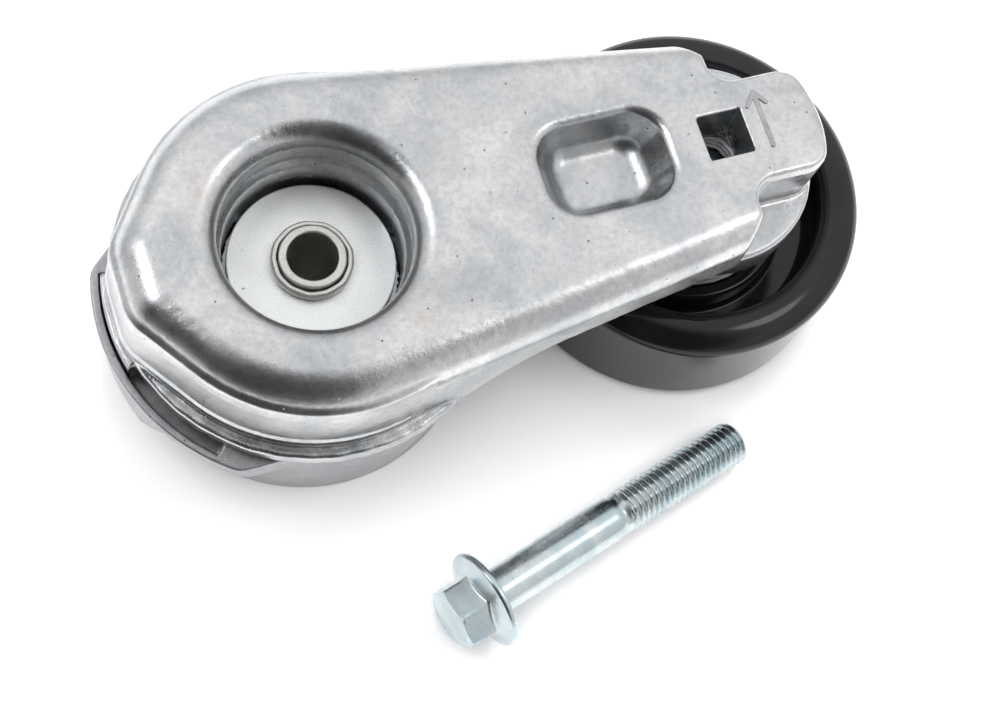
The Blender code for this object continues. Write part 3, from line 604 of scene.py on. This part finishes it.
class Paint:
    """One node-based material, in the object's own coordinates, with a few shorthands."""

    def __init__(self, name, metallic, roughness, **constants):
        self.mat = bpy.data.materials.new(name)
        self.mat.use_nodes = True
        self.tree = self.mat.node_tree
        self.shader = self.tree.nodes["Principled BSDF"]
        self.shader.inputs["Metallic"].default_value = metallic
        self.shader.inputs["Roughness"].default_value = roughness
        for key, value in constants.items():
            self.shader.inputs[key.replace("_", " ")].default_value = value
        self.place = self.tree.nodes.new("ShaderNodeTexCoord").outputs["Object"]
        self.bumped = None

    def node(self, kind, settings=(), links=()):
        node = self.tree.nodes.new("ShaderNode" + kind)
        for key, value in dict(settings).items():
            if key in node.inputs:
                node.inputs[key].default_value = value
            else:
                setattr(node, key, value)
        for key, value in dict(links).items():
            self.tree.links.new(value, node.inputs[key])
        return node

    def stretched(self, scale, turn):
        """The coordinates turned about Z, then stretched."""
        turned_place = self.node(
            "Mapping", {"Rotation": (0, 0, math.radians(turn))}, {"Vector": self.place}
        )
        return self.node("Mapping", {"Scale": scale}, {"Vector": turned_place.outputs[0]}).outputs[0]

    def noise(self, scale, detail=3.0, rough=0.55, place=None, distortion=0.0):
        settings = {"Scale": scale, "Detail": detail, "Roughness": rough, "Distortion": distortion}
        return self.node("TexNoise", settings, {"Vector": place or self.place}).outputs["Fac"]

    def ramp(self, value, low, high, first=0.0, last=1.0):
        """The value moved from the range low to high to the range first to last, and held there."""
        settings = {"From Min": low, "From Max": high, "To Min": first, "To Max": last}
        return self.node("MapRange", settings, {"Value": value}).outputs[0]

    def math(self, operation, a, b):
        node = self.tree.nodes.new("ShaderNodeMath")
        node.operation = operation
        for socket, value in zip(node.inputs, (a, b)):
            if isinstance(value, float):
                socket.default_value = value
            else:
                self.tree.links.new(value, socket)
        return node.outputs[0]

    def mix(self, share, first, second):
        node = self.tree.nodes.new("ShaderNodeMix")
        node.data_type = "RGBA"
        self.tree.links.new(share, node.inputs["Factor"])
        for socket, value in ((node.inputs[6], first), (node.inputs[7], second)):
            if isinstance(value, tuple):
                socket.default_value = (*value, 1.0)
            else:
                self.tree.links.new(value, socket)
        return node.outputs[2]

    def pits(self, scale, size, share, seed=0.0):
        """Small round marks, 1 inside a mark, on a random share of the cells."""
        place = self.node(
            "Mapping", {"Location": (seed, seed * 0.7, seed * 1.3)}, {"Vector": self.place}
        ).outputs[0]
        cells = self.node("TexVoronoi", {"Scale": scale}, {"Vector": place})
        near = self.ramp(cells.outputs["Distance"], size * 0.6, size, 1.0, 0.0)
        chosen = self.node("SeparateColor", (), {"Color": cells.outputs["Color"]}).outputs[0]
        return self.math("MULTIPLY", near, self.ramp(chosen, 1 - share, 1.001 - share, 0.0, 1.0))

    def scratches(self, turn, length, width, share, seed):
        """Thin straight marks in one direction, kept to a share of the surface."""
        lines = self.noise(
            1.0, 2.0, 0.5, self.stretched((1 / length, 1 / width, 1 / width), turn + seed * 0.01)
        )
        thin = self.ramp(lines, 0.5 + 0.5 * (1 - share) * 0.44, 0.5 + 0.5 * (1 - share) * 0.5, 0.0, 1.0)
        where = self.ramp(self.noise(55 + seed, 2.0), 0.5, 0.6, 0.0, 1.0)
        return self.math("MULTIPLY", thin, where)

    def bump(self, height, distance, strength=1.0):
        links = {"Height": height}
        if self.bumped:
            links["Normal"] = self.bumped
        node = self.node("Bump", {"Distance": distance, "Strength": strength}, links)
        self.bumped = node.outputs[0]

    def done(self, colour=None, roughness=None):
        if colour is not None:
            self.tree.links.new(colour, self.shader.inputs["Base Color"])
        if roughness is not None:
            self.tree.links.new(roughness, self.shader.inputs["Roughness"])
        if self.bumped:
            self.tree.links.new(self.bumped, self.shader.inputs["Normal"])
        return self.mat


def cast_metal(name, dark, light, stain, rough_low, rough_high, seed):
    """Bright tumbled die-cast aluminium: mottled tint, stains, pits, rubbed scratches and a fine grain."""
    p = Paint(name, 1.0, 0.35)
    blotches = p.noise(52.0 + seed, 6.0, 0.66, distortion=0.6)
    colour = p.mix(p.ramp(blotches, 0.36, 0.64), dark, light)
    patches = p.ramp(p.noise(31.0 + seed, 6.0, 0.7, distortion=1.2), 0.54, 0.70, 0.0, 0.6)
    colour = p.mix(patches, colour, stain)
    dapple = p.ramp(p.noise(760.0, 4.0, 0.7), 0.42, 0.66, 0.0, 0.30)
    colour = p.mix(dapple, colour, tuple(0.62 * c for c in dark))
    speck = p.pits(560.0, 0.14, 0.10, seed)
    colour = p.mix(p.math("MULTIPLY", speck, 0.75), colour, (0.09, 0.08, 0.07))
    marks = p.scratches(24.0, 0.016, 0.00016, 0.42, seed)
    marks = p.math("MAXIMUM", marks, p.scratches(-58.0, 0.011, 0.00015, 0.40, seed + 3))
    marks = p.math("MAXIMUM", marks, p.scratches(80.0, 0.010, 0.00014, 0.38, seed + 11))
    colour = p.mix(p.math("MULTIPLY", marks, 0.30), colour, (0.86, 0.86, 0.86))
    grain = p.noise(2600.0, 4.0, 0.6)
    cloudy = p.ramp(p.noise(85.0 + seed, 5.0, 0.65), 0.3, 0.7, rough_low, rough_high)
    roughness = p.math("ADD", cloudy, p.math("MULTIPLY", grain, 0.08))
    p.bump(p.noise(240.0, 4.0, 0.6), 0.00022, 0.5)
    p.bump(grain, 0.00004, 0.6)
    p.bump(p.math("MULTIPLY", speck, -1.0), 0.0001, 0.8)
    return p.done(colour, roughness)


def plated_metal(name, dark, light, rough_low, rough_high, speckle, metallic=1.0):
    """Zinc-plated steel: a fine crystalline speckle with a few dark dots."""
    p = Paint(name, metallic, 0.4)
    fine = p.noise(3400.0, 3.0, 0.7)
    broad = p.noise(120.0, 4.0, 0.6)
    colour = p.mix(p.ramp(fine, 0.5 - speckle, 0.5 + speckle), dark, light)
    dots = p.pits(480.0, 0.14, 0.05, 2.0)
    colour = p.mix(p.math("MULTIPLY", dots, 0.8), colour, (0.08, 0.08, 0.08))
    roughness = p.math(
        "ADD", p.ramp(broad, 0.3, 0.7, rough_low, rough_high), p.math("MULTIPLY", fine, 0.12)
    )
    p.bump(fine, 0.00004, 0.6)
    p.bump(broad, 0.0001, 0.3)
    return p.done(colour, roughness)


def blue_zinc():
    """Bright zinc with a faint blue-green tint, darker worn patches and an uneven roughness."""
    p = Paint("blue_zinc", 1.0, 0.2)
    place = p.stretched((1.0, 0.35, 1.0), -16.3)
    sheen = p.noise(160.0, 3.0, 0.5, place, 0.4)
    colour = p.mix(p.ramp(sheen, 0.38, 0.62), (0.46, 0.55, 0.58), (0.62, 0.66, 0.66))
    worn = p.noise(900.0, 4.0, 0.65, place)
    colour = p.mix(p.ramp(worn, 0.6, 0.75, 0.0, 0.3), colour, (0.42, 0.46, 0.48))
    roughness = p.ramp(p.noise(420.0, 4.0, 0.6, place), 0.3, 0.7, 0.20, 0.36)
    p.bump(worn, 0.00004, 0.5)
    return p.done(colour, roughness)


def black_gloss():
    """Smooth glossy black, with a fine haze, dust and hairline rub marks."""
    p = Paint("black_gloss", 0.0, 0.14, Specular_IOR_Level=0.32)
    haze = p.noise(70.0, 4.0, 0.6)
    dust = p.pits(900.0, 0.1, 0.04, 5.0)
    colour = p.mix(p.ramp(haze, 0.3, 0.7), (0.004, 0.004, 0.0045), (0.010, 0.010, 0.012))
    colour = p.mix(p.math("MULTIPLY", dust, 0.25), colour, (0.25, 0.25, 0.25))
    marks = p.scratches(40.0, 0.02, 0.00025, 0.5, 7)
    roughness = p.math("ADD", p.ramp(haze, 0.3, 0.7, 0.07, 0.13), p.math("MULTIPLY", marks, 0.1))
    p.bump(p.noise(110.0, 3.0), 0.00012, 0.25)
    return p.done(colour, roughness)


def plain_grain(name, dark, light, metallic, rough_low, rough_high, scale, depth):
    """A moulded or turned surface: two close tints, an uneven sheen and a fine texture."""
    p = Paint(name, metallic, 0.5)
    fine = p.noise(scale, 4.0, 0.6)
    broad = p.noise(scale * 0.08, 3.0)
    colour = p.mix(p.ramp(broad, 0.35, 0.65), dark, light)
    p.bump(fine, depth, 0.6)
    return p.done(colour, p.ramp(fine, 0.3, 0.7, rough_low, rough_high))


# Dark tint, light tint, metallic, smoothest, roughest, grain scale and grain depth
HIDDEN_LOOKS = {
    "dark_nylon": ((0.035, 0.035, 0.04), (0.06, 0.06, 0.065), 0.0, 0.4, 0.6, 1400.0, 0.00005),
    "bush_bronze": ((0.42, 0.28, 0.13), (0.55, 0.40, 0.20), 1.0, 0.3, 0.5, 1800.0, 0.00003),
    "spring_steel": ((0.07, 0.07, 0.08), (0.13, 0.13, 0.14), 0.8, 0.35, 0.5, 1500.0, 0.00003),
    "seal_rubber": ((0.015, 0.015, 0.015), (0.03, 0.03, 0.03), 0.0, 0.5, 0.7, 1200.0, 0.00004),
    "ball_steel": ((0.62, 0.62, 0.64), (0.74, 0.74, 0.75), 1.0, 0.08, 0.16, 900.0, 0.00001),
}


def floor_paint():
    p = Paint("table_white", 0.0, 0.6)
    soft = p.noise(3.0, 2.0)
    colour = p.mix(p.ramp(soft, 0.3, 0.7), (0.90, 0.90, 0.905), (0.92, 0.92, 0.92))
    return p.done(colour)


# ---------------------------------------------------------------- stage, camera, light


def make_floor():
    bm = bmesh.new()
    bmesh.ops.create_grid(bm, x_segments=8, y_segments=8, size=3.0)
    mesh = bpy.data.meshes.new("table")
    bm.to_mesh(mesh)
    bm.free()
    floor = link_mesh("table", mesh)
    mesh.materials.append(floor_paint())


def make_camera():
    """Looks down at the part at 68 degrees, from in front and to the left, rolled clockwise."""
    elevation, azimuth, roll = math.radians(68.44), math.radians(-42.97), math.radians(26.46)
    target = PIVOT + Vector((0.02682, -0.03426, 0.0570))
    back = Vector(
        (
            math.sin(azimuth) * math.cos(elevation),
            -math.cos(azimuth) * math.cos(elevation),
            math.sin(elevation),
        )
    )
    right = (-back).cross(Vector((0, 0, 1))).normalized()
    down = (-back).cross(right)
    rolled_right = math.cos(roll) * right - math.sin(roll) * down
    rolled_down = math.sin(roll) * right + math.cos(roll) * down
    camera = bpy.data.objects.new("camera", bpy.data.cameras.new("camera"))
    camera.data.lens = 64.84
    camera.data.clip_start = 0.01
    columns = Matrix((rolled_right, -rolled_down, back)).transposed().to_4x4()
    columns.translation = target + back * 0.350
    camera.matrix_world = columns
    bpy.context.scene.collection.objects.link(camera)
    bpy.context.scene.camera = camera


def area_light(name, place, size, power, colour=(1, 1, 1), mirrored=True):
    """A round soft light aimed at the part. One that isn't mirrored lights only matt surfaces."""
    light = bpy.data.lights.new(name, "AREA")
    light.shape = "DISK"
    light.size = size
    light.energy = power
    light.color = colour
    obj = bpy.data.objects.new(name, light)
    obj.location = place
    aim = Vector((0.0, 0.0, 0.03)) - obj.location
    obj.rotation_euler = aim.to_track_quat("-Z", "Y").to_euler()
    obj.visible_glossy = mirrored
    bpy.context.scene.collection.objects.link(obj)


DARK_SIDE = (-0.482, -0.517, 0.707)
DARK_SIDE_RAMP = {"From Min": 0.50, "From Max": 0.80, "To Min": 1.0, "To Max": 0.05}
SKY_STOPS = [(0.0, 0.75), (0.25, 0.82), (0.5, 1.0), (0.8, 1.12), (1.0, 1.2)]


def make_world():
    """A bright studio with a darker side behind the viewer, from the ceiling down to the horizon."""
    world = bpy.data.worlds.new("studio")
    world.use_nodes = True
    tree = world.node_tree
    sky = tree.nodes["Background"]
    place = tree.nodes.new("ShaderNodeTexCoord").outputs["Generated"]
    split = tree.nodes.new("ShaderNodeSeparateXYZ")
    ramp = tree.nodes.new("ShaderNodeValToRGB")
    toward = tree.nodes.new("ShaderNodeVectorMath")
    toward.operation = "DOT_PRODUCT"
    toward.inputs[1].default_value = DARK_SIDE
    shade = tree.nodes.new("ShaderNodeMapRange")
    shade.interpolation_type = "SMOOTHSTEP"
    for socket, value in DARK_SIDE_RAMP.items():
        shade.inputs[socket].default_value = value
    dim = tree.nodes.new("ShaderNodeVectorMath")
    dim.operation = "SCALE"
    tree.links.new(place, split.inputs[0])
    tree.links.new(split.outputs["Z"], ramp.inputs[0])
    tree.links.new(place, toward.inputs[0])
    tree.links.new(toward.outputs["Value"], shade.inputs["Value"])
    tree.links.new(ramp.outputs[0], dim.inputs[0])
    tree.links.new(shade.outputs[0], dim.inputs["Scale"])
    tree.links.new(dim.outputs[0], sky.inputs["Color"])
    ramp.color_ramp.elements[0].position = SKY_STOPS[0][0]
    ramp.color_ramp.elements[1].position = SKY_STOPS[-1][0]
    for position, _ in SKY_STOPS[1:-1]:
        ramp.color_ramp.elements.new(position)
    for element, (_, value) in zip(ramp.color_ramp.elements, SKY_STOPS):
        element.color = (value, value, value * 1.01, 1.0)
    sky.inputs["Strength"].default_value = 1.0
    bpy.context.scene.world = world


# ---------------------------------------------------------------- putting it together


def dress(piece, body, slot, material, *nodes):
    piece.data.materials.clear()
    piece.data.materials.append(material)
    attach(piece, body)
    if nodes:
        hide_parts(*nodes)


def main():
    fine = 0.55
    arm_tints = (0.46, 0.48, 0.50), (0.70, 0.695, 0.685), (0.55, 0.50, 0.47)
    arm_metal = cast_metal("arm_cast", *arm_tints, 0.20, 0.33, 1.0)
    base_tints = (0.36, 0.355, 0.38), (0.46, 0.45, 0.455), (0.38, 0.35, 0.33)
    base_metal = cast_metal("base_cast", *base_tints, 0.32, 0.46, 6.0)
    zinc = plated_metal("zinc_plate", (0.74, 0.76, 0.76), (0.97, 0.98, 0.98), 0.36, 0.48, 0.14)
    tube_steel = plated_metal("bare_steel", (0.50, 0.49, 0.47), (0.78, 0.77, 0.74), 0.30, 0.42, 0.2)
    gloss = black_gloss()
    blue = blue_zinc()

    dress(make_arm(fine), "arm", "arm_cast", arm_metal, "tensioner_arm")
    arrow = cast_solid("arm_arrow", arrow_field, (93.5, -6.5, 56.2), (101, 9, 57.2), 0.16)
    # painted shade: the arrow takes the darker base metal instead of the arm's, standing in for the shadowed edges
    # of its low raised strokes
    dress(arrow, "arm", "arm_cast", base_metal)
    dress(make_base(fine * 1.15), "base", "base_cast", base_metal, "base_housing")

    tube = rounded([(7.0, 42.8), (7.0, 0.0), (5.22, 0.0), (5.22, 42.8)], 0.45)
    dress(turned("tube", tube, wobble=ragged(0.03, 1.0)), "base", "bare_steel", tube_steel, "pivot_tube")
    collar = rounded([(8.1, 41.7), (8.52, 41.0), (8.5, 39.7), (7.3, 39.7), (7.3, 41.7)], 0.2)
    collar_ring = turned("collar", collar, wobble=ragged(0.1, 2.0))
    dress(collar_ring, "base", "bare_steel", tube_steel, "retaining_collar")
    plate = rounded([(17.5, 39.4), (17.5, 36.4), (7.3, 36.4), (7.3, 39.4)], 0.4)
    dress(turned("plate", plate), "base", "zinc_plate", zinc, "front_plate")

    pulley = turned("pulley", pulley_profile(), PULLEY_X, PULLEY_Z, 256)
    dress(pulley, "pulley", "black_gloss", gloss, "pulley_shell")
    for name, low, high in (("front_dust_shield", 6.3, 7.3), ("rear_dust_shield", -7.3, -6.3)):
        shield = rounded([(19.4, high), (19.4, low), (5.4, low), (5.4, high)], 0.25)
        dress(turned(name + "_skin", shield, PULLEY_X, PULLEY_Z), "arm", "zinc_plate", zinc, name)
    dress(thread_insert(), "arm", "arm_cast", base_metal)
    dress(mounting_bolt(), "bolt", "blue_zinc", blue, "mounting_bolt")

    kept = {slot: plain_grain(slot, *looks) for slot, looks in HIDDEN_LOOKS.items()}
    kept |= {"bare_steel": tube_steel, "blue_zinc": blue, "zinc_plate": zinc}
    for entry in frame["record"]["subparts"]:
        node = frame["nodes"][entry["node"]]
        paint = kept.get(entry["material_slot"])
        if node.hide_render or paint is None:
            continue
        node.data.materials.clear()
        node.data.materials.append(paint)

    make_floor()
    make_camera()
    make_world()
    area_light("window", (-0.55, 0.30, 0.85), 0.42, 1.9, (0.97, 0.98, 1.0))
    area_light("lamp", (0.55, -0.15, 1.0), 0.30, 0.8)
    area_light("near_fill", (-0.30, -0.25, 1.1), 0.9, 9.2, mirrored=False)
    area_light("far_fill", (0.35, 0.55, 1.0), 0.9, 9.2, mirrored=False)
    bpy.context.scene.view_settings.view_transform = "Standard"


main()
